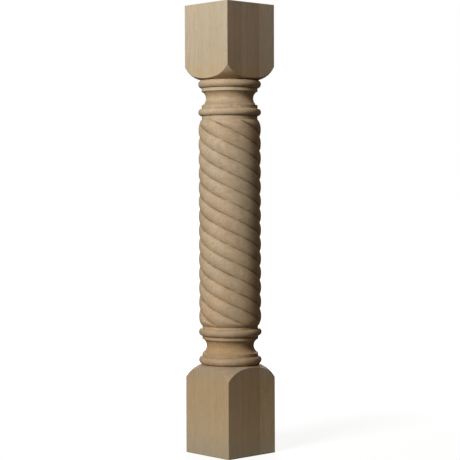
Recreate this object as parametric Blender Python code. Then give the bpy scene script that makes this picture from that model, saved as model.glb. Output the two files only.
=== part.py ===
"""Rope-twist cabinet column, turned and carved from one square wooden blank.

The column stands on the origin along +Z with its square blocks' faces square to X and Y.
A plain block closes each end. Between them the blank is turned: a stack of bead, fillet,
cove, fillet and bead at each block, a short plain neck, and a shaft carved as a rope of
six strands that twist together. Metres throughout.
"""

import math

import bmesh
import bpy
from mathutils import Vector

# the square blank
COLUMN_WIDTH = 0.127
COLUMN_HEIGHT = 0.9017
BASE_BLOCK_HEIGHT = 0.1805
TOP_BLOCK_HEIGHT = 0.1505

# what the lathe takes off the blank's flat sides, down to the beads and to the rope's strands
BEAD_ALLOWANCE = 0.0003
ROPE_ALLOWANCE = 0.0007

# turned mouldings, the same stack at both ends, with each depth measured in from the beads
BLOCK_BEAD_HEIGHT = 0.0163
ROPE_BEAD_HEIGHT = 0.0151
BLOCK_FILLET_HEIGHT = 0.0069
ROPE_FILLET_HEIGHT = 0.0067
FILLET_DEPTH = 0.0068
COVE_HEIGHT = 0.0270
COVE_EDGE_DEPTH = 0.0081
COVE_WAIST_DEPTH = 0.0156

# the domed shoulder that the lathe cuts on each block, from the beads out to the corner edges
BASE_SHOULDER_HEIGHT = 0.0275
BASE_SHOULDER_RADIUS = 0.0612
TOP_SHOULDER_HEIGHT = 0.0270
TOP_SHOULDER_RADIUS = 0.0457
SHOULDER_FOOT_DEPTH = 0.0072

# the carved rope, whose strands fall to the right around the front
STRANDS = 6
GROOVE_DEPTH = 0.0044
GROOVE_SPACING = 0.02888
FRONT_CORNER_ANGLE = math.radians(-45)
FRONT_GROOVE_HEIGHT = 0.3064

# the plain necks beside the rope, measured in from its strands, and the rope's rounded ends
NECK_DEPTH = 0.0068
BASE_NECK_HEIGHT = 0.0052
TOP_NECK_HEIGHT = 0.0077
BASE_ROPE_STEP = 0.0003
TOP_ROPE_STEP = 0.0012
BASE_ROPE_ROUND_HEIGHT = 0.0145
TOP_ROPE_ROUND_HEIGHT = 0.0160

# how finely the round forms are stepped
TURNED_STEPS = 36
BEAD_STEPS = 6
COVE_STEPS = 6
SHOULDER_STEPS = 6
ROPE_ROUND_STEPS = 5
STRAND_STEPS = 6
TWIST_STEP = math.radians(15)

# spare stock that a cutting form has beyond the solid that it cuts
SPARE = 0.004

FULL_TURN = 2 * math.pi
MERGE_DISTANCE = 0.00001
SHARP_ANGLE = math.radians(32)

corner_radius = COLUMN_WIDTH / math.sqrt(2)
bead_crest = COLUMN_WIDTH / 2 - BEAD_ALLOWANCE
fillet_radius = bead_crest - FILLET_DEPTH
cove_edge = bead_crest - COVE_EDGE_DEPTH
shoulder_foot = bead_crest - SHOULDER_FOOT_DEPTH
strand_crest = COLUMN_WIDTH / 2 - ROPE_ALLOWANCE
groove_radius = strand_crest - GROOVE_DEPTH
neck_radius = strand_crest - NECK_DEPTH
stack_height = (BLOCK_BEAD_HEIGHT + BLOCK_FILLET_HEIGHT + COVE_HEIGHT
                + ROPE_FILLET_HEIGHT + ROPE_BEAD_HEIGHT)
top_block_foot = COLUMN_HEIGHT - TOP_BLOCK_HEIGHT
rope_foot = BASE_BLOCK_HEIGHT + stack_height + BASE_NECK_HEIGHT
rope_head = top_block_foot - stack_height - TOP_NECK_HEIGHT


def clear_scene():
    for old in list(bpy.data.objects):
        bpy.data.objects.remove(old, do_unlink=True)


def wood_material():
    """Pale unfinished hardwood, sanded but bare."""
    wood = bpy.data.materials.new("wood")
    wood.use_nodes = True
    shader = wood.node_tree.nodes["Principled BSDF"]
    shader.inputs["Base Color"].default_value = (0.50, 0.37, 0.25, 1.0)
    shader.inputs["Roughness"].default_value = 0.6
    shader.inputs["Metallic"].default_value = 0.0
    return wood


def arc(start, end, radius, steps):
    """Points (r, z) of the arc from start to end that lies to the right of the way between them."""
    start, end = Vector(start), Vector(end)
    chord = end - start
    rise = math.sqrt(max(radius**2 - (chord.length / 2) ** 2, 0.0))
    to_left = Vector((-chord.y, chord.x)).normalized()
    centre = (start + end) / 2 + to_left * rise
    first = math.atan2(start.y - centre.y, start.x - centre.x)
    sweep = 2 * math.asin(min(chord.length / 2 / radius, 1.0))
    angles = [first + sweep * step / steps for step in range(steps + 1)]
    return [(centre.x + radius * math.cos(a), centre.y + radius * math.sin(a)) for a in angles]


def chord_radius(chord, sagitta):
    """Radius of the arc that stands sagitta proud of its chord."""
    return (chord**2 / 4 + sagitta**2) / (2 * sagitta)


def bead(low, height):
    """Half a circle standing on the turned surface, as points (r, z) going up."""
    root = bead_crest - height / 2
    return arc((root, low), (root, low + height), height / 2, BEAD_STEPS)


def cove(low):
    """The hollow between two fillets, as points (r, z) going up."""
    radius = chord_radius(COVE_HEIGHT, COVE_WAIST_DEPTH - COVE_EDGE_DEPTH)
    hollow = arc((cove_edge, low + COVE_HEIGHT), (cove_edge, low), radius, COVE_STEPS)
    return hollow[::-1]


def moulding_stack():
    """Bead, fillet, cove, fillet and bead, from the block at z = 0 up to the neck."""
    cove_low = BLOCK_BEAD_HEIGHT + BLOCK_FILLET_HEIGHT
    cove_high = cove_low + COVE_HEIGHT
    rope_bead = cove_high + ROPE_FILLET_HEIGHT
    points = bead(0.0, BLOCK_BEAD_HEIGHT)
    points += [(fillet_radius, BLOCK_BEAD_HEIGHT), (fillet_radius, cove_low)]
    points += cove(cove_low)
    points += [(fillet_radius, cove_high), (fillet_radius, rope_bead)]
    points += bead(rope_bead, ROPE_BEAD_HEIGHT)
    points.append((neck_radius, stack_height))
    return points


def shoulder(height, radius):
    """The dome from the block's corner edge, as points (r, z) going up to the neck at z = 0."""
    dome = arc((corner_radius, -height), (shoulder_foot, 0.0), radius, SHOULDER_STEPS)
    (outer_r, outer_z), (next_r, next_z) = dome[0], dome[1]
    reach = SPARE / (outer_r - next_r)
    beyond = (outer_r + SPARE, outer_z - (next_z - outer_z) * reach)
    return [beyond] + dome


def turned_profile():
    """Half section (r, z) of the turned column going up, with the rope left out."""
    base_end = shoulder(BASE_SHOULDER_HEIGHT, BASE_SHOULDER_RADIUS) + moulding_stack()
    top_end = shoulder(TOP_SHOULDER_HEIGHT, TOP_SHOULDER_RADIUS) + moulding_stack()
    outer = corner_radius + SPARE
    profile = [(0.0, -SPARE), (outer, -SPARE)]
    profile += [(r, BASE_BLOCK_HEIGHT + z) for r, z in base_end]
    profile += [(r, top_block_foot - z) for r, z in reversed(top_end)]
    profile += [(outer, COLUMN_HEIGHT + SPARE), (0.0, COLUMN_HEIGHT + SPARE)]
    return profile


def rope_end(height, step):
    """The rounding of one end of the rope, as points (r, z) going up from the neck at z = 0."""
    start = neck_radius + step
    rise = strand_crest - start
    radius = chord_radius(2 * height, rise)
    return arc((start, 0.0), (strand_crest, height), radius, ROPE_ROUND_STEPS)


def rope_round_profile():
    """Half section (r, z) going up of the barrel that rounds the rope's two ends."""
    outer = strand_crest + SPARE
    profile = [(0.0, rope_foot)]
    profile += [(r, rope_foot + z) for r, z in rope_end(BASE_ROPE_ROUND_HEIGHT, BASE_ROPE_STEP)]
    profile += [(outer, rope_foot + BASE_ROPE_ROUND_HEIGHT)]
    profile += [(outer, rope_head - TOP_ROPE_ROUND_HEIGHT)]
    top_end = rope_end(TOP_ROPE_ROUND_HEIGHT, TOP_ROPE_STEP)
    profile += [(r, rope_head - z) for r, z in reversed(top_end)]
    profile.append((0.0, rope_head))
    return profile


def turn(name, profile):
    """A closed solid turned about Z from its half section."""
    mesh = bpy.data.meshes.new(name)
    corners = [(r, 0.0, z) for r, z in reversed(profile)]
    mesh.from_pydata(corners, [(i, i + 1) for i in range(len(corners) - 1)], [])
    turned = bpy.data.objects.new(name, mesh)
    bpy.context.collection.objects.link(turned)
    screw = turned.modifiers.new("lathe", "SCREW")
    screw.axis = "Z"
    screw.angle = FULL_TURN
    screw.steps = TURNED_STEPS
    screw.render_steps = TURNED_STEPS
    screw.use_merge_vertices = True
    screw.merge_threshold = MERGE_DISTANCE
    return turned


def rope_section():
    """Outline of the bar across its length: one round lobe a strand, meeting in sharp grooves."""
    half_strand = math.pi / STRANDS
    half_chord = groove_radius * math.sin(half_strand)
    sagitta = strand_crest - groove_radius * math.cos(half_strand)
    lobe_radius = chord_radius(2 * half_chord, sagitta)
    points = []
    for strand in range(STRANDS):
        low, high = (FULL_TURN * (strand + side) / STRANDS for side in (0, 1))
        start = (groove_radius * math.cos(low), groove_radius * math.sin(low))
        end = (groove_radius * math.cos(high), groove_radius * math.sin(high))
        points += arc(start, end, lobe_radius, STRAND_STEPS)[:-1]
    return points


def rope_bar():
    """The six-lobed bar, spun along Z as it rises so that its grooves are helices."""
    lead = STRANDS * GROOVE_SPACING
    bar_foot = rope_foot - SPARE
    bar_length = rope_head - rope_foot + 2 * SPARE
    steps = math.ceil(FULL_TURN * bar_length / lead / TWIST_STEP)
    twist = -FULL_TURN * bar_length / lead
    start_angle = FRONT_CORNER_ANGLE - FULL_TURN * (bar_foot - FRONT_GROOVE_HEIGHT) / lead

    bm = bmesh.new()
    section = bm.faces.new([bm.verts.new((x, y, 0.0)) for x, y in rope_section()])
    section.normal_update()
    bmesh.ops.spin(
        bm, geom=[section], cent=(0, 0, 0), axis=(0, 0, 1), angle=twist, steps=steps,
        dvec=(0, 0, bar_length / steps), use_merge=False, use_duplicate=False,
    )
    bmesh.ops.recalc_face_normals(bm, faces=bm.faces)
    mesh = bpy.data.meshes.new("rope_bar")
    bm.to_mesh(mesh)
    bm.free()
    bar = bpy.data.objects.new("rope_bar", mesh)
    bpy.context.collection.objects.link(bar)
    bar.location.z = bar_foot
    bar.rotation_euler.z = start_angle
    return bar


def square_blank(name):
    """The square stock, standing on the floor."""
    bpy.ops.mesh.primitive_cube_add(size=1)
    blank = bpy.context.object
    blank.name = name
    size = Vector((COLUMN_WIDTH, COLUMN_WIDTH, COLUMN_HEIGHT))
    for corner in blank.data.vertices:
        corner.co = Vector((a * b for a, b in zip(corner.co, size)))
        corner.co.z += COLUMN_HEIGHT / 2
    return blank


def combine(target, tool, operation):
    """A Boolean left live on target. The tool only guides it."""
    boolean = target.modifiers.new(operation.lower(), "BOOLEAN")
    boolean.operation = operation
    boolean.solver = "EXACT"
    boolean.object = tool
    tool.hide_render = True
    tool.display_type = "WIRE"


def build_column():
    column = square_blank("rope_column")
    envelope = turn("turned_form", turned_profile())
    rope = rope_bar()
    combine(rope, turn("rope_rounding", rope_round_profile()), "INTERSECT")
    combine(column, envelope, "INTERSECT")
    combine(column, rope, "UNION")
    column.data.materials.append(wood_material())
    column.data.shade_smooth()
    column.data.set_sharp_from_angle(angle=SHARP_ANGLE)
    return column


clear_scene()
build_column()
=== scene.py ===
# Rope cabinet column, dressed for its picture. Metres, +Z up, the column standing on the origin.
import math

import bpy
from mathutils import Matrix, Vector


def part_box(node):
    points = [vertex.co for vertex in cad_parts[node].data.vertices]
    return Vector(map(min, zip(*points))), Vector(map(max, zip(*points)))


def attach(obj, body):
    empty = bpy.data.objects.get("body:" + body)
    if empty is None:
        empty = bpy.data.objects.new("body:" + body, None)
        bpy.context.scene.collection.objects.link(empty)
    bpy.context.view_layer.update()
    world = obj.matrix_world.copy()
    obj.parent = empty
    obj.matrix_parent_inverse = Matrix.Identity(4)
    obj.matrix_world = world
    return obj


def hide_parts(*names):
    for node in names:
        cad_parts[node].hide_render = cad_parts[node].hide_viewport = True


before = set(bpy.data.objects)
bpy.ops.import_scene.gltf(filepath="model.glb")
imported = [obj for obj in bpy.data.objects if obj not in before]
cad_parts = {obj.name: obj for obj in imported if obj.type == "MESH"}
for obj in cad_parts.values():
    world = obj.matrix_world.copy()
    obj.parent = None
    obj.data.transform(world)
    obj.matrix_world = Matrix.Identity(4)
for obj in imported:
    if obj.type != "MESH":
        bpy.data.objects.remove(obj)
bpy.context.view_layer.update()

nodeName = "rope_column"
low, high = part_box(nodeName)
fullTurn = 2 * math.pi

# what a user would change on the column; each depth is measured in from the beads
column = {
    "width": high[0] - low[0],
    "height": high[2] - low[2],
    "baseBlock": 0.1805,
    "topBlock": 0.1505,
    "arris": 0.0003,  # the sanded edges of the square blocks
    "beadAllowance": 0.0003,  # what the lathe takes off the flat sides, down to the beads
    "blockBead": 0.0163,
    "ropeBead": 0.0151,
    "blockFillet": 0.0069,
    "ropeFillet": 0.0067,
    "filletDepth": 0.0068,
    "coveHeight": 0.0270,
    "coveEdgeDepth": 0.0081,
    "coveWaistDepth": 0.0156,
    "turnedArris": 0.0006,  # the worn corners of the fillets
    "baseShoulder": {"height": 0.0275, "radius": 0.0612},
    "topShoulder": {"height": 0.0270, "radius": 0.0457},
    "shoulderFootDepth": 0.0072,
    "sides": 144,
    "flatGap": 0.0008,
    "smoothAngle": math.radians(30),  # sharper edges than this stay crisp
}

# what a user would change on the carved rope and the necks beside it
rope = {
    "strands": 6,
    "allowance": 0.0007,  # what the lathe takes off the flat sides, down to the strands
    "grooveDepth": 0.0038,
    "cut": {"depth": 0.0006, "width": 0.0013},  # the fine line that the carver leaves in a groove
    "spacing": 0.02888,  # from groove to groove, measured straight up
    "cornerAngle": math.radians(-45),
    "cornerGroove": 0.3064,  # a groove crosses the front corner's line at this height
    "neckDepth": 0.0068,
    "baseNeck": 0.0052,
    "topNeck": 0.0077,
    "baseEnd": {"height": 0.0145, "step": 0.0003},  # step: how far it stands proud of the neck
    "topEnd": {"height": 0.0160, "step": 0.0012},
    "blend": 0.0006,  # how softly the strands run out into the rounded ends
    "ringGap": 0.0018,
}

beadCrest = column["width"] / 2 - column["beadAllowance"]
filletRadius = beadCrest - column["filletDepth"]
coveEdge = beadCrest - column["coveEdgeDepth"]
shoulderFoot = beadCrest - column["shoulderFootDepth"]
strandCrest = column["width"] / 2 - rope["allowance"]
grooveRadius = strandCrest - rope["grooveDepth"]
neckRadius = strandCrest - rope["neckDepth"]
lead = rope["strands"] * rope["spacing"]
grooveSlope = math.sin(math.atan2(lead, fullTurn * strandCrest))

arcSteps = {"bead": 16, "cove": 16, "shoulder": 18, "ropeEnd": 10, "arris": 3}

# what the turning runs past the blank, to be cut away with its sides and ends
spare = {"width": 0.006, "length": 0.01, "shoulderSteps": 3}


def selectNothing():
    if bpy.context.object and bpy.context.object.mode != "OBJECT":
        bpy.ops.object.mode_set(mode="OBJECT")
    bpy.ops.object.select_all(action="DESELECT")


def arcPoints(start, end, radius, steps):
    # the arc from start to end, bulging to the right of the way between them
    start, end = Vector(start), Vector(end)
    chord = end - start
    rise = math.sqrt(max(radius ** 2 - (chord.length / 2) ** 2, 0.0))
    centre = (start + end) / 2 + Vector((-chord.y, chord.x)).normalized() * rise
    first = math.atan2(start.y - centre.y, start.x - centre.x)
    sweep = 2 * math.asin(min(chord.length / 2 / radius, 1.0))
    turns = [first + sweep * step / steps for step in range(steps + 1)]
    return [(centre.x + radius * math.cos(a), centre.y + radius * math.sin(a)) for a in turns]


def softCorner(before, corner, after, reach, steps):
    # a worn corner: a small curve from one side of it to the other
    before, corner, after = Vector(before), Vector(corner), Vector(after)
    start = corner + (before - corner).normalized() * reach
    end = corner + (after - corner).normalized() * reach
    points = []
    for step in range(steps + 1):
        t = step / steps
        points.append(tuple(start * (1 - t) ** 2 + corner * 2 * t * (1 - t) + end * t ** 2))
    return points


stackHeight = sum(column[name] for name in
                  ("blockBead", "blockFillet", "coveHeight", "ropeFillet", "ropeBead"))
baseNeckFoot = column["baseBlock"] + stackHeight
topBlockFoot = column["height"] - column["topBlock"]
topNeckHead = topBlockFoot - stackHeight
ropeFoot = baseNeckFoot + rope["baseNeck"]
ropeHead = topNeckHead - rope["topNeck"]
cornerRadius = column["width"] / math.sqrt(2)


def flatStretch(radius, foot, head):
    # the rings between a flat's two corners, which keep the painted shade lines there narrow
    rings = round((head - foot) / column["flatGap"])
    return [(radius, foot + (head - foot) * ring / rings) for ring in range(1, rings)]


def bead(foot, height):
    root = beadCrest - height / 2
    return arcPoints((root, foot), (root, foot + height), height / 2, arcSteps["bead"])


def stackOutline():
    # bead, fillet, cove, fillet and bead, going up from the block at 0 to the neck
    wear, steps = column["turnedArris"], arcSteps["arris"]
    flat, edge = filletRadius, coveEdge
    coveFoot = column["blockBead"] + column["blockFillet"]
    coveHead = coveFoot + column["coveHeight"]
    upperBead = coveHead + column["ropeFillet"]
    depth = column["coveWaistDepth"] - column["coveEdgeDepth"]
    coveRadius = (column["coveHeight"] ** 2 / 4 + depth ** 2) / (2 * depth)
    hollow = arcPoints((edge, coveHead), (edge, coveFoot), coveRadius, arcSteps["cove"])[::-1]
    outline = bead(0.0, column["blockBead"])
    outline.append((flat, column["blockBead"]))
    outline += flatStretch(flat, column["blockBead"], coveFoot - wear)
    outline += softCorner(outline[-1], (flat, coveFoot), hollow[0], wear, steps)
    outline += hollow
    outline += softCorner(hollow[-1], (flat, coveHead), (flat, upperBead), wear, steps)
    outline += flatStretch(flat, coveHead + wear, upperBead)
    outline.append((flat, upperBead))
    return outline + bead(upperBead, column["ropeBead"])


def shoulderOutline(shoulder):
    # the dome from outside the corner edge up to the neck at 0
    start, end = (cornerRadius, -shoulder["height"]), (shoulderFoot, 0.0)
    dome = arcPoints(start, end, shoulder["radius"], arcSteps["shoulder"])
    step = Vector(dome[0]) - Vector(dome[1])
    return [tuple(Vector(dome[0]) + step * spare["shoulderSteps"])] + dome


def ropeEnd(end):
    # the turned rounding of one end of the rope, going up from the neck at 0
    start, height = neckRadius + end["step"], end["height"]
    rise = strandCrest - start
    radius = (height ** 2 + rise ** 2) / (2 * rise)
    return arcPoints((start, 0.0), (strandCrest, height), radius, arcSteps["ropeEnd"])


def columnOutline():
    # (radius, height) of every ring, from the underside to the top
    outside = cornerRadius + spare["width"]
    outline = [(outside, low[2] - spare["length"])]
    outline += [(r, column["baseBlock"] + z) for r, z in shoulderOutline(column["baseShoulder"])]
    outline += [(r, column["baseBlock"] + z) for r, z in stackOutline()]
    outline += [(neckRadius, baseNeckFoot), *flatStretch(neckRadius, baseNeckFoot, ropeFoot),
                (neckRadius, ropeFoot)]
    outline += [(r, ropeFoot + z) for r, z in ropeEnd(rope["baseEnd"])]
    start, end = ropeFoot + rope["baseEnd"]["height"], ropeHead - rope["topEnd"]["height"]
    rings = round((end - start) / rope["ringGap"])
    outline += [(strandCrest, start + (end - start) * ring / rings) for ring in range(1, rings)]
    outline += [(r, ropeHead - z) for r, z in reversed(ropeEnd(rope["topEnd"]))]
    outline += [(neckRadius, ropeHead), *flatStretch(neckRadius, ropeHead, topNeckHead),
                (neckRadius, topNeckHead)]
    outline += [(r, topBlockFoot - z) for r, z in reversed(stackOutline())]
    outline += [(r, topBlockFoot - z) for r, z in reversed(shoulderOutline(column["topShoulder"]))]
    outline.append((outside, high[2] + spare["length"]))
    return outline


def turnOnLathe(name, outline):
    # a disc drawn up ring by ring, each ring scaled to the outline
    selectNothing()
    radius, height = outline[0]
    bpy.ops.mesh.primitive_circle_add(vertices=column["sides"], radius=radius, fill_type="NGON")
    body = bpy.context.object
    body.name = body.data.name = name
    bpy.ops.object.mode_set(mode="EDIT")
    bpy.ops.mesh.select_all(action="SELECT")
    bpy.ops.transform.translate(value=(0, 0, height))
    for nextRadius, nextHeight in outline[1:]:
        bpy.ops.mesh.extrude_region_move(
            TRANSFORM_OT_translate={"value": (0, 0, nextHeight - height)})
        share = nextRadius / radius
        bpy.ops.transform.resize(value=(share, share, 1), center_override=(0, 0, nextHeight))
        radius, height = nextRadius, nextHeight
    bpy.ops.object.mode_set(mode="OBJECT")
    return body


def grooveAngle(height):
    # where around the column one groove stands at this height
    inRope = min(max(height, ropeFoot), ropeHead)
    return rope["cornerAngle"] - fullTurn * (inRope - rope["cornerGroove"]) / lead


def strandRadius(angle):
    # the rope's radius at an angle counted from a groove: round lobes that meet in sharp grooves
    half = math.pi / rope["strands"]
    chord = grooveRadius * math.sin(half)
    sagitta = strandCrest - grooveRadius * math.cos(half)
    lobe = (chord ** 2 + sagitta ** 2) / (2 * sagitta)
    away = (angle % (2 * half)) - half
    centre = strandCrest - lobe
    radius = centre * math.cos(away) + math.sqrt(lobe ** 2 - (centre * math.sin(away)) ** 2)
    fromGroove = (half - abs(away)) * radius * grooveSlope
    return radius - rope["cut"]["depth"] * max(1 - fromGroove / rope["cut"]["width"], 0.0)


def softMinimum(a, b, blend):
    mix = max(blend - abs(a - b), 0.0) / blend
    return min(a, b) - mix ** 2 * blend / 4


def carveRope(body):
    for point in body.data.vertices:
        x, y, z = point.co
        radius, angle = math.hypot(x, y), math.atan2(y, x)
        if ropeFoot < z < ropeHead:
            radius = softMinimum(radius, strandRadius(angle), rope["blend"])
        angle += grooveAngle(z)
        point.co = (radius * math.cos(angle), radius * math.sin(angle), z)


def squareBlank():
    selectNothing()
    bpy.ops.mesh.primitive_cube_add(size=1, location=(0, 0, column["height"] / 2))
    blank = bpy.context.object
    blank.scale = (column["width"], column["width"], column["height"])
    bpy.ops.object.transform_apply(location=True, rotation=True, scale=True)
    bpy.ops.object.mode_set(mode="EDIT")
    bpy.ops.mesh.select_all(action="SELECT")
    bpy.ops.mesh.bevel(offset=column["arris"], segments=arcSteps["arris"], affect="EDGES")
    bpy.ops.object.mode_set(mode="OBJECT")
    return blank


def cutToBlank(body, blank):
    selectNothing()
    body.select_set(True)
    bpy.context.view_layer.objects.active = body
    bpy.ops.object.modifier_add(type="BOOLEAN")
    cut = body.modifiers[-1]
    cut.operation = "INTERSECT"
    cut.solver = "EXACT"
    cut.object = blank
    bpy.ops.object.modifier_apply(modifier=cut.name)
    bpy.data.objects.remove(blank, do_unlink=True)


# how dark the painted shade is at each turned corner, from the block to the rope: darkest where
# the corner lies in the shade
baseQuirkShade = (1.0, 0.35, 1.0, 0.30, 0.9)
topQuirkShade = (1.0, 0.80, 0.35, 0.90, 0.4)
quirkWidth = 0.0009
quirkReach = 0.003  # no quirk lies further out from the neck than this
grooveWidth = 0.0013
arrisSlack = 1.01  # so that a flat face's own edge counts as flat


def findQuirks():
    # (height, darkness of the painted shade) of every turned corner
    stack = [0.0, column["blockBead"], stackHeight - column["ropeBead"], stackHeight]
    base = [column["baseBlock"] + z for z in stack] + [ropeFoot]
    top = [topBlockFoot - z for z in stack] + [ropeHead]
    return list(zip(base, baseQuirkShade)) + list(zip(top, topQuirkShade))


def paintHollowShade(body):
    # how deep in a groove or a turned quirk each point lies, for the lines of painted shade there
    quirks = findQuirks()
    layer = body.data.attributes.new("hollow", "FLOAT", "POINT")
    strand = fullTurn / rope["strands"]
    for point, value in zip(body.data.vertices, layer.data):
        x, y, z = point.co
        radius = math.hypot(x, y)
        value.value = 0.0
        if radius < neckRadius + quirkReach:
            value.value = max(dark * math.exp(-((z - at) / quirkWidth) ** 2)
                              for at, dark in quirks)
        if ropeFoot < z < ropeHead:
            away = (math.atan2(y, x) - grooveAngle(z)) % strand
            away = min(away, strand - away) * radius * grooveSlope
            value.value = max(value.value, math.exp(-(away / grooveWidth) ** 2))


def markTurned(body):
    # 1 where the lathe or the carver has cut across the fibres, 0 on the blocks' flat faces
    layer = body.data.attributes.new("turned", "FLOAT", "POINT")
    flat = column["width"] / 2 - column["arris"] * arrisSlack
    for point, value in zip(body.data.vertices, layer.data):
        x, y, z = point.co
        inBlock = not column["baseBlock"] < z < topBlockFoot
        value.value = 0.0 if inBlock and max(abs(x), abs(y)) > flat else 1.0


# what a user would change on the wood: pale unfinished hardwood, sanded but bare
wood = {
    # near the mouldings many stops also hold painted shade and painted light: darker where a bead,
    # fillet or cove lies in shade, lighter where one is lit
    "tones": [  # colour up the height, the foot first; the top block is a paler board
        (0.000, (0.385, 0.321, 0.227)),
        (0.050, (0.455, 0.350, 0.214)),
        (0.120, (0.464, 0.339, 0.193)),
        (0.150, (0.459, 0.337, 0.197)),
        (0.170, (0.432, 0.337, 0.232)),
        (0.190, (0.453, 0.332, 0.199)),
        (0.200, (0.453, 0.328, 0.192)),
        (0.218, (0.436, 0.296, 0.150)),
        (0.238, (0.434, 0.310, 0.183)),
        (0.248, (0.416, 0.302, 0.196)),
        (0.254, (0.510, 0.370, 0.215)),
        (0.262, (0.478, 0.348, 0.211)),
        (0.320, (0.507, 0.374, 0.231)),
        (0.590, (0.513, 0.399, 0.263)),
        (0.655, (0.527, 0.393, 0.249)),
        (0.676, (0.540, 0.412, 0.270)),
        (0.690, (0.560, 0.432, 0.280)),
        (0.699, (0.522, 0.398, 0.252)),
        (0.704, (0.446, 0.336, 0.207)),
        (0.713, (0.572, 0.436, 0.271)),
        (0.722, (0.480, 0.363, 0.225)),
        (0.727, (0.510, 0.390, 0.242)),
        (0.730, (0.590, 0.478, 0.306)),
        (0.738, (0.535, 0.403, 0.262)),
        (0.758, (0.560, 0.422, 0.254)),
        (0.790, (0.538, 0.439, 0.301)),
        (0.9017, (0.567, 0.471, 0.335)),
    ],
    # the glued-up blank from front to back: where each board starts, and the tint at its two
    # edges, on the turned work and on the side faces of the lower and the upper block
    "boards": [
        {"start": 0.0, "turned": [(1.000, 0.990, 0.985), (1.000, 0.990, 0.985)],
         "foot": [(1.068, 1.106, 1.170), (1.045, 1.045, 1.090)],
         "head": [(0.950, 0.860, 0.810), (0.905, 0.825, 0.800)]},
        {"start": 0.30, "turned": [(1.030, 1.025, 1.015), (1.030, 1.025, 1.015)],
         "foot": [(1.060, 1.050, 1.060), (1.010, 1.015, 1.000)],
         "head": [(0.990, 0.945, 0.960), (0.925, 0.845, 0.805)]},
        {"start": 0.665, "turned": [(1.095, 1.105, 1.120), (1.095, 1.105, 1.120)],
         "foot": [(1.195, 1.235, 1.270), (1.210, 1.250, 1.270)],
         "head": [(1.075, 1.070, 1.125), (1.105, 1.115, 1.160)]},
    ],
    "pith": (0.221, -0.203, 0.0),  # from the heart of the tree, far behind the blank
    "nextPith": (0.046, 0.031, 0.4),  # how far the next board's own heart lies from it
    "ring": {
        "width": 0.0036,
        "depth": 0.13,
        "paleShare": 1 / 3,  # of the depth, for the pale early wood
        "line": 2.5,  # how much each ring's dark late wood narrows to a line
        "wander": 0.055,  # how far a ring may stray from its circle
    },
    "ringNoise": {"scale": (9.0, 9.0, 2.4), "detail": 3.0},
    "ringWave": {"Distortion": 1.5, "Detail": 2.0, "Detail Scale": 2.0},
    "mottle": {"scale": (33.0, 33.0, 26.0), "detail": 3.0, "roughness": 0.6},
    "fibre": {"scale": (520.0, 520.0, 9.0), "detail": 3.0, "roughness": 0.6},
    "pore": {"scale": (1300.0, 1300.0, 42.0), "detail": 1.0},
    "poreEdge": (0.60, 0.72),
    "grain": {"scale": (75.0, 75.0, 1.2), "detail": 3.0, "roughness": 0.7},
    "grainTints": ((0.988, 0.955, 0.900, 1), (1.010, 1.032, 1.062, 1)),
    "patch": {"scale": (62.0, 62.0, 180.0), "detail": 3.0, "roughness": 0.6},
    "patchTints": ((0.962, 0.908, 0.812, 1), (1.040, 1.074, 1.165, 1)),
    "blush": {"scale": (16.0, 16.0, 3.5)},
    "blushTints": ((1.038, 0.988, 0.958, 1), (0.974, 1.008, 1.018, 1)),
    # each of these is for the blocks' flat faces and for the turned and carved ones
    "mottleDepth": (0.04, 0.15),
    "fibreDepth": (0.08, 0.045),
    "poreDepth": (0.22, 0.08),
    "seamDepth": (0.22, 0.0),
    "blushShare": (0.20, 1.0),
    "bump": (0.00018, 0.00006),
    "seamWidth": 0.0006,  # the glue line between two boards
    # the painted shade in the grooves and quirks, with some burnished brown: its colour, and how
    # dark it is
    "grooveShadeColour": (0.140, 0.070, 0.034, 1),
    "grooveDepth": (0.58, 0.16),  # where the mottles are dark and where they are pale
    "endGrainShade": 0.80,
    "roughness": (0.52, 0.66),
    "specular": 0.30,
    "relief": {"fibre": 0.6, "ring": 0.3},  # how high these stand, beside a pore's depth of 1
    "bumpStrength": 0.5,
}

wideSpread = (0.3, 0.7)  # nearly all of a noise's values lie in here
midSpread = (0.35, 0.65)  # narrower, for patches with firmer edges
noiseCentre = (0.5, 0.5, 0.5)
waveRate = 20  # how many radians a wave texture turns in one unit of its scale
brightestTint = 1.3  # a colour ramp holds shares of this
glueEdge = 0.001  # how sharply one board's tint gives way to the next, across the blank
middle = 0.5
levelFace = 0.995  # a cut end's normal points up or down at least this much


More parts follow.
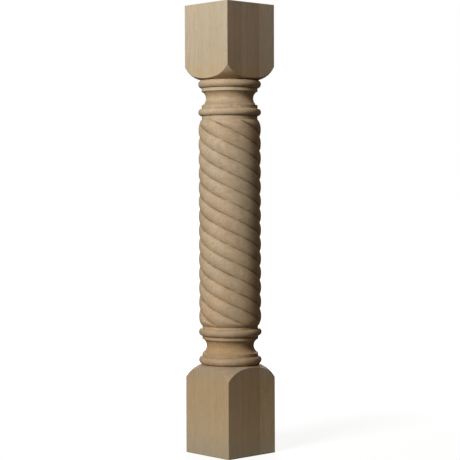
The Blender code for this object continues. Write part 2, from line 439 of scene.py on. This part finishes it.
class NodeBench:
    # lays out shader nodes and wires them: a value, a colour or another node's output goes in

    def __init__(self, tree):
        self.tree = tree

    def add(self, kind, inputs=None, **settings):
        node = self.tree.nodes.new("ShaderNode" + kind)
        for name, value in settings.items():
            setattr(node, name, value)
        for name, value in (inputs or {}).items():
            self.feed(node.inputs[name], value)
        return node

    def feed(self, socket, value):
        if isinstance(value, bpy.types.NodeSocket):
            self.tree.links.new(value, socket)
        else:
            socket.default_value = value

    def math(self, operation, first, second):
        return self.add("Math", {0: first, 1: second}, operation=operation).outputs[0]

    def scaled(self, vector, factor):
        return self.add("VectorMath", {0: vector, "Scale": factor}, operation="SCALE").outputs[0]

    def joined(self, operation, first, second):
        return self.add("VectorMath", {0: first, 1: second}, operation=operation).outputs[0]

    def noise(self, place, scale, detail=2.0, roughness=0.5):
        stretched = self.add("Mapping", {"Vector": place, "Scale": scale}).outputs[0]
        inputs = {"Vector": stretched, "Scale": 1.0, "Detail": detail, "Roughness": roughness}
        return self.add("TexNoise", inputs).outputs

    def remap(self, value, fromLow, fromHigh, toLow, toHigh):
        inputs = {"Value": value, "From Min": fromLow, "From Max": fromHigh,
                  "To Min": toLow, "To Max": toHigh}
        return self.add("MapRange", inputs).outputs[0]

    def pick(self, switch, values):
        # the first value where the switch is 0, the second where it is 1
        return self.remap(switch, 0.0, 1.0, *values)

    def ramp(self, value, tones):
        node = self.add("ValToRGB", {"Fac": value})
        stops = node.color_ramp.elements
        for number, (at, colour) in enumerate(tones):
            stop = stops[number] if number < len(stops) else stops.new(at)
            stop.position = at
            stop.color = (*colour, 1)
        return node.outputs["Color"]

    def blend(self, factor, first, second, way="MIX"):
        node = self.add("Mix", data_type="RGBA", blend_type=way)
        for number, value in ((0, factor), (6, first), (7, second)):
            self.feed(node.inputs[number], value)
        return node.outputs[2]

    def patches(self, noise, tints):
        # one tint or the other, wherever the noise is low or high
        return self.blend(self.remap(noise, *midSpread, 0.0, 1.0), *tints)


def boardStarts():
    return [board["start"] for board in wood["boards"]]


def boardTint(bench, across, part):
    # the tint across the boards, with a sharp change at each glue line
    stops = []
    for board, end in zip(wood["boards"], boardStarts()[1:] + [1.0]):
        front, back = ([c / brightestTint for c in tint] for tint in board[part])
        stops += [(board["start"] + glueEdge, front), (end - glueEdge, back)]
    return bench.ramp(across, stops)


def tintBoards(bench, across, share, sideways, turned):
    # the blocks' side faces have tints of their own, low down and high up
    turnedTint, footTint, headTint = (boardTint(bench, across, part)
                                      for part in ("turned", "foot", "head"))
    sideTint = bench.blend(bench.math("GREATER_THAN", share, middle), footTint, headTint)
    side = bench.math("SUBTRACT", bench.math("GREATER_THAN", sideways, middle), turned)
    return bench.scaled(bench.blend(side, turnedTint, sideTint), brightestTint)


def findBoards(bench, across):
    # which board this is, counted from the front, and 1 on the glue lines
    board, seam = 0.0, 0.0
    reach = wood["seamWidth"] / (high[1] - low[1]) / 2
    for start in boardStarts()[1:]:
        board = bench.math("ADD", bench.math("GREATER_THAN", across, start), board)
        near = bench.add("Math", {0: across, 1: start, 2: reach}, operation="COMPARE").outputs[0]
        seam = bench.math("ADD", near, seam)
    return board, seam


def growRings(bench, place, board):
    # where in the tree this is, and the growth rings about the far pith
    wander = bench.noise(place, **wood["ringNoise"])["Color"]
    wander = bench.joined("SUBTRACT", wander, noiseCentre)
    wander = bench.scaled(wander, wood["ring"]["wander"])
    centred = bench.joined("ADD", place, wood["pith"])
    centred = bench.joined("ADD", centred, bench.scaled(wood["nextPith"], board))
    grown = bench.joined("ADD", centred, wander)
    inputs = {"Vector": grown, "Scale": fullTurn / waveRate / wood["ring"]["width"],
              **wood["ringWave"]}
    rings = bench.add("TexWave", inputs, wave_type="RINGS", rings_direction="Z",
                      wave_profile="SAW")
    return grown, rings.outputs["Fac"]


def shadeFigure(bench, turned, rings, noises, marks):
    # how much each part of the figure lightens or darkens the wood
    depth, paleShare = wood["ring"]["depth"], wood["ring"]["paleShare"]
    line = bench.math("POWER", rings, wood["ring"]["line"])
    tone = bench.remap(line, 0.0, 1.0, 1 + depth * paleShare, 1 - depth * (1 - paleShare))
    for noise, depths in noises:
        streak = bench.remap(noise, *wideSpread, -0.5, 0.5)
        streak = bench.math("MULTIPLY", streak, bench.pick(turned, depths))
        tone = bench.math("MULTIPLY", tone, bench.math("ADD", streak, 1.0))
    for mark, depths in marks:
        dark = bench.math("MULTIPLY", mark, bench.pick(turned, depths))
        tone = bench.math("MULTIPLY", tone, bench.math("SUBTRACT", 1.0, dark))
    return tone


def shadeEnds(bench, tone, upward):
    # the cut ends drink in the light
    level = bench.math("GREATER_THAN", bench.math("ABSOLUTE", upward, 0.0), levelFace)
    return bench.math("MULTIPLY", tone, bench.pick(level, (1.0, wood["endGrainShade"])))


def raiseGrain(bench, turned, rings, fibre, pore):
    relief = bench.math("MULTIPLY", fibre, wood["relief"]["fibre"])
    relief = bench.math("SUBTRACT", relief, pore)
    ringRise = bench.math("MULTIPLY", rings, wood["relief"]["ring"])
    relief = bench.math("ADD", relief, ringRise)
    inputs = {"Height": relief, "Strength": wood["bumpStrength"],
              "Distance": bench.pick(turned, wood["bump"])}
    return bench.add("Bump", inputs).outputs[0]


def woodMaterial():
    material = bpy.data.materials.new("bareWood")
    material.use_nodes = True
    shader = material.node_tree.nodes["Principled BSDF"]
    bench = NodeBench(material.node_tree)
    place = bench.add("TexCoord").outputs["Object"]
    axes = bench.add("SeparateXYZ", {"Vector": place}).outputs
    normal = bench.add("NewGeometry").outputs["Normal"]
    facing = bench.add("SeparateXYZ", {"Vector": normal}).outputs
    turned = bench.add("Attribute", attribute_name="turned").outputs["Fac"]
    # where the painted shade of the grooves and quirks lies
    hollow = bench.add("Attribute", attribute_name="hollow").outputs["Fac"]

    # the wood's colour up the height, with painted shade and painted light at the mouldings, and
    # the tint of each board
    share = bench.remap(axes["Z"], 0.0, column["height"], 0.0, 1.0)
    colour = bench.ramp(share, [(z / column["height"], tone) for z, tone in wood["tones"]])
    across = bench.remap(axes["Y"], low[1], high[1], 0.0, 1.0)
    sideways = bench.math("ABSOLUTE", facing["X"], 0.0)
    tint = tintBoards(bench, across, share, sideways, turned)
    colour = bench.blend(1.0, colour, tint, "MULTIPLY")

    # the figure: rings, soft mottles, fine fibres, short dark pores and glue lines
    board, seam = findBoards(bench, across)
    grown, rings = growRings(bench, place, board)
    mottle, fibre, pore, patch, blush = (bench.noise(grown, **wood[name])["Fac"] for name in
                                         ("mottle", "fibre", "pore", "patch", "blush"))
    pore = bench.remap(pore, *wood["poreEdge"], 0.0, 1.0)
    noises = (mottle, wood["mottleDepth"]), (fibre, wood["fibreDepth"])
    marks = (pore, wood["poreDepth"]), (seam, wood["seamDepth"])
    tone = shadeFigure(bench, turned, rings, noises, marks)
    tone = shadeEnds(bench, tone, facing["Z"])
    tone = bench.add("CombineColor", {0: tone, 1: tone, 2: tone}).outputs[0]
    colour = bench.blend(1.0, colour, tone, "MULTIPLY")

    # upright streaks on the flat faces; patches where the turned ones cut across the fibres
    grain = bench.patches(bench.noise(place, **wood["grain"])["Fac"], wood["grainTints"])
    patch = bench.patches(patch, wood["patchTints"])
    colour = bench.blend(1.0, colour, bench.blend(turned, grain, patch), "MULTIPLY")

    # pinkish and straw patches
    hue = bench.patches(blush, wood["blushTints"])
    colour = bench.blend(bench.pick(turned, wood["blushShare"]), colour, hue, "MULTIPLY")

    # painted shade in every groove and quirk, with some burnished brown there
    depth = bench.remap(mottle, *midSpread, *wood["grooveDepth"])
    paintedShade = bench.math("MULTIPLY", hollow, depth)
    bench.feed(shader.inputs["Base Color"], bench.blend(paintedShade, colour, wood["grooveShadeColour"]))

    bench.feed(shader.inputs["Roughness"], bench.remap(fibre, *wideSpread, *wood["roughness"]))
    bench.feed(shader.inputs["Specular IOR Level"], wood["specular"])
    bench.feed(shader.inputs["Normal"], raiseGrain(bench, turned, rings, fibre, pore))
    return material


def buildColumn():
    outline = columnOutline()
    body = turnOnLathe("column", outline)
    print("column turned,", len(outline), "rings")
    carveRope(body)
    print("rope carved")
    cutToBlank(body, squareBlank())
    print("blocks squared,", len(body.data.polygons), "faces")
    bpy.ops.object.shade_smooth_by_angle(angle=column["smoothAngle"])
    bpy.ops.object.modifier_add(type="WEIGHTED_NORMAL")  # keeps the flat faces flat
    body.modifiers[-1].keep_sharp = True
    bpy.ops.object.modifier_apply(modifier=body.modifiers[-1].name)
    paintHollowShade(body)
    markTurned(body)
    body.data.materials.clear()
    body.data.materials.append(woodMaterial())
    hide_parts(nodeName)
    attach(body, "root")
    return body


white = (1, 1, 1, 1)

studio = {
    "floorColour": (0.20, 0.20, 0.20, 1),
    "floorGlow": (0.86, 1.05),  # close by, where the shadow falls, and far away
    "floorFade": (0.5, 2.5),
    "floorSize": 60.0,
    "ambient": (0.062, 0.053, 0.044, 1),
    "key": {"angle": math.radians(-80.2), "distance": 3.6, "height": 2.1, "size": 1.25,
            "power": 146.0, "colour": (1.0, 1.0, 1.0)},
    "fill": {"angle": math.radians(52), "distance": 2.4, "height": 3.2, "size": 1.2,
             "power": 7.6, "colour": (1.0, 0.68, 0.50)},
    "back": {"angle": math.radians(137), "distance": 2.2, "height": 1.0, "size": 0.8,
             "power": 34.0, "colour": (1.0, 1.0, 1.0)},
    "bounceHeight": 0.002,
    "bouncePower": 0.14,
    "bounceSize": 0.56,
    "bounceColour": (1.0, 0.88, 0.74),
}


def layFloor():
    selectNothing()
    bpy.ops.mesh.primitive_plane_add(size=studio["floorSize"])
    floor = bpy.context.object
    floor.name = floor.data.name = "floor"
    material = bpy.data.materials.new("paleFloor")
    material.use_nodes = True
    bench = NodeBench(material.node_tree)
    shader = material.node_tree.nodes["Principled BSDF"]
    matt = {"Base Color": studio["floorColour"], "Roughness": 1.0, "Specular IOR Level": 0.0,
            "Emission Color": white}
    for name, value in matt.items():
        shader.inputs[name].default_value = value
    place = bench.add("TexCoord").outputs["Object"]
    away = bench.add("VectorMath", {0: place}, operation="LENGTH").outputs["Value"]
    glow = bench.remap(away, *studio["floorFade"], *studio["floorGlow"])
    material.node_tree.links.new(glow, shader.inputs["Emission Strength"])
    floor.data.materials.append(material)
    floor.visible_diffuse = False
    floor.visible_glossy = False


def lightRoom():
    world = bpy.data.worlds.new("studio")
    bpy.context.scene.world = world
    world.use_nodes = True
    tree = world.node_tree
    tree.nodes.clear()
    output = tree.nodes.new("ShaderNodeOutputWorld")
    room = tree.nodes.new("ShaderNodeBackground")
    room.inputs["Color"].default_value = studio["ambient"]
    backdrop = tree.nodes.new("ShaderNodeBackground")
    backdrop.inputs["Color"].default_value = white
    mix = tree.nodes.new("ShaderNodeMixShader")
    path = tree.nodes.new("ShaderNodeLightPath")
    tree.links.new(path.outputs["Is Camera Ray"], mix.inputs[0])
    tree.links.new(room.outputs[0], mix.inputs[1])
    tree.links.new(backdrop.outputs[0], mix.inputs[2])
    tree.links.new(mix.outputs[0], output.inputs[0])
    bpy.context.scene.view_settings.view_transform = "Standard"


def lightFloor():
    # the pale floor's own light on the foot of the column
    bpy.ops.object.light_add(type="AREA", location=(0, 0, studio["bounceHeight"]),
                             rotation=(math.pi, 0, 0))
    lamp = bpy.context.object
    lamp.name = lamp.data.name = "bounce"
    lamp.data.shape = "DISK"
    lamp.data.size = studio["bounceSize"]
    lamp.data.energy = studio["bouncePower"]
    lamp.data.color = studio["bounceColour"]
    lamp.visible_camera = False


def hangSoftbox(name):
    box = studio[name]
    bpy.ops.object.light_add(type="AREA")
    lamp = bpy.context.object
    lamp.name = lamp.data.name = name
    lamp.data.shape = "SQUARE"
    lamp.data.size = box["size"]
    lamp.data.energy = box["power"]
    lamp.data.color = box["colour"]
    lamp.location = (box["distance"] * math.cos(box["angle"]),
                     box["distance"] * math.sin(box["angle"]), box["height"])
    aim = Vector((0, 0, column["height"] / 2)) - lamp.location
    lamp.rotation_euler = aim.to_track_quat("-Z", "Y").to_euler()
    lamp.visible_camera = False


camera = {
    "angle": math.radians(-42.531),
    "distance": 2.99106,
    "height": 0.53482,
    "down": 0.0282821,
    "lean": -0.0031302,
    "focalPixels": 1483.555,
    "sensorWidth": 36.0,
}
photoWidth = 460


def placeCamera():
    data = bpy.data.cameras.new("camera")
    view = bpy.data.objects.new("camera", data)
    bpy.context.collection.objects.link(view)
    data.sensor_width = camera["sensorWidth"]
    data.lens = camera["focalPixels"] / photoWidth * data.sensor_width
    angle = camera["angle"]
    heading = Matrix.Rotation(angle + math.pi / 2, 4, "Z")
    tilt = Matrix.Rotation(math.pi / 2 - camera["down"], 4, "X")
    lean = Matrix.Rotation(camera["lean"], 4, "Z")
    place = Vector((camera["distance"] * math.cos(angle), camera["distance"] * math.sin(angle),
                    camera["height"]))
    view.matrix_world = Matrix.Translation(place) @ heading @ tilt @ lean
    bpy.context.scene.camera = view


buildColumn()
layFloor()
lightRoom()
lightFloor()
hangSoftbox("key")
hangSoftbox("fill")
hangSoftbox("back")
placeCamera()
print("studio ready")

bpy.context.view_layer.update()
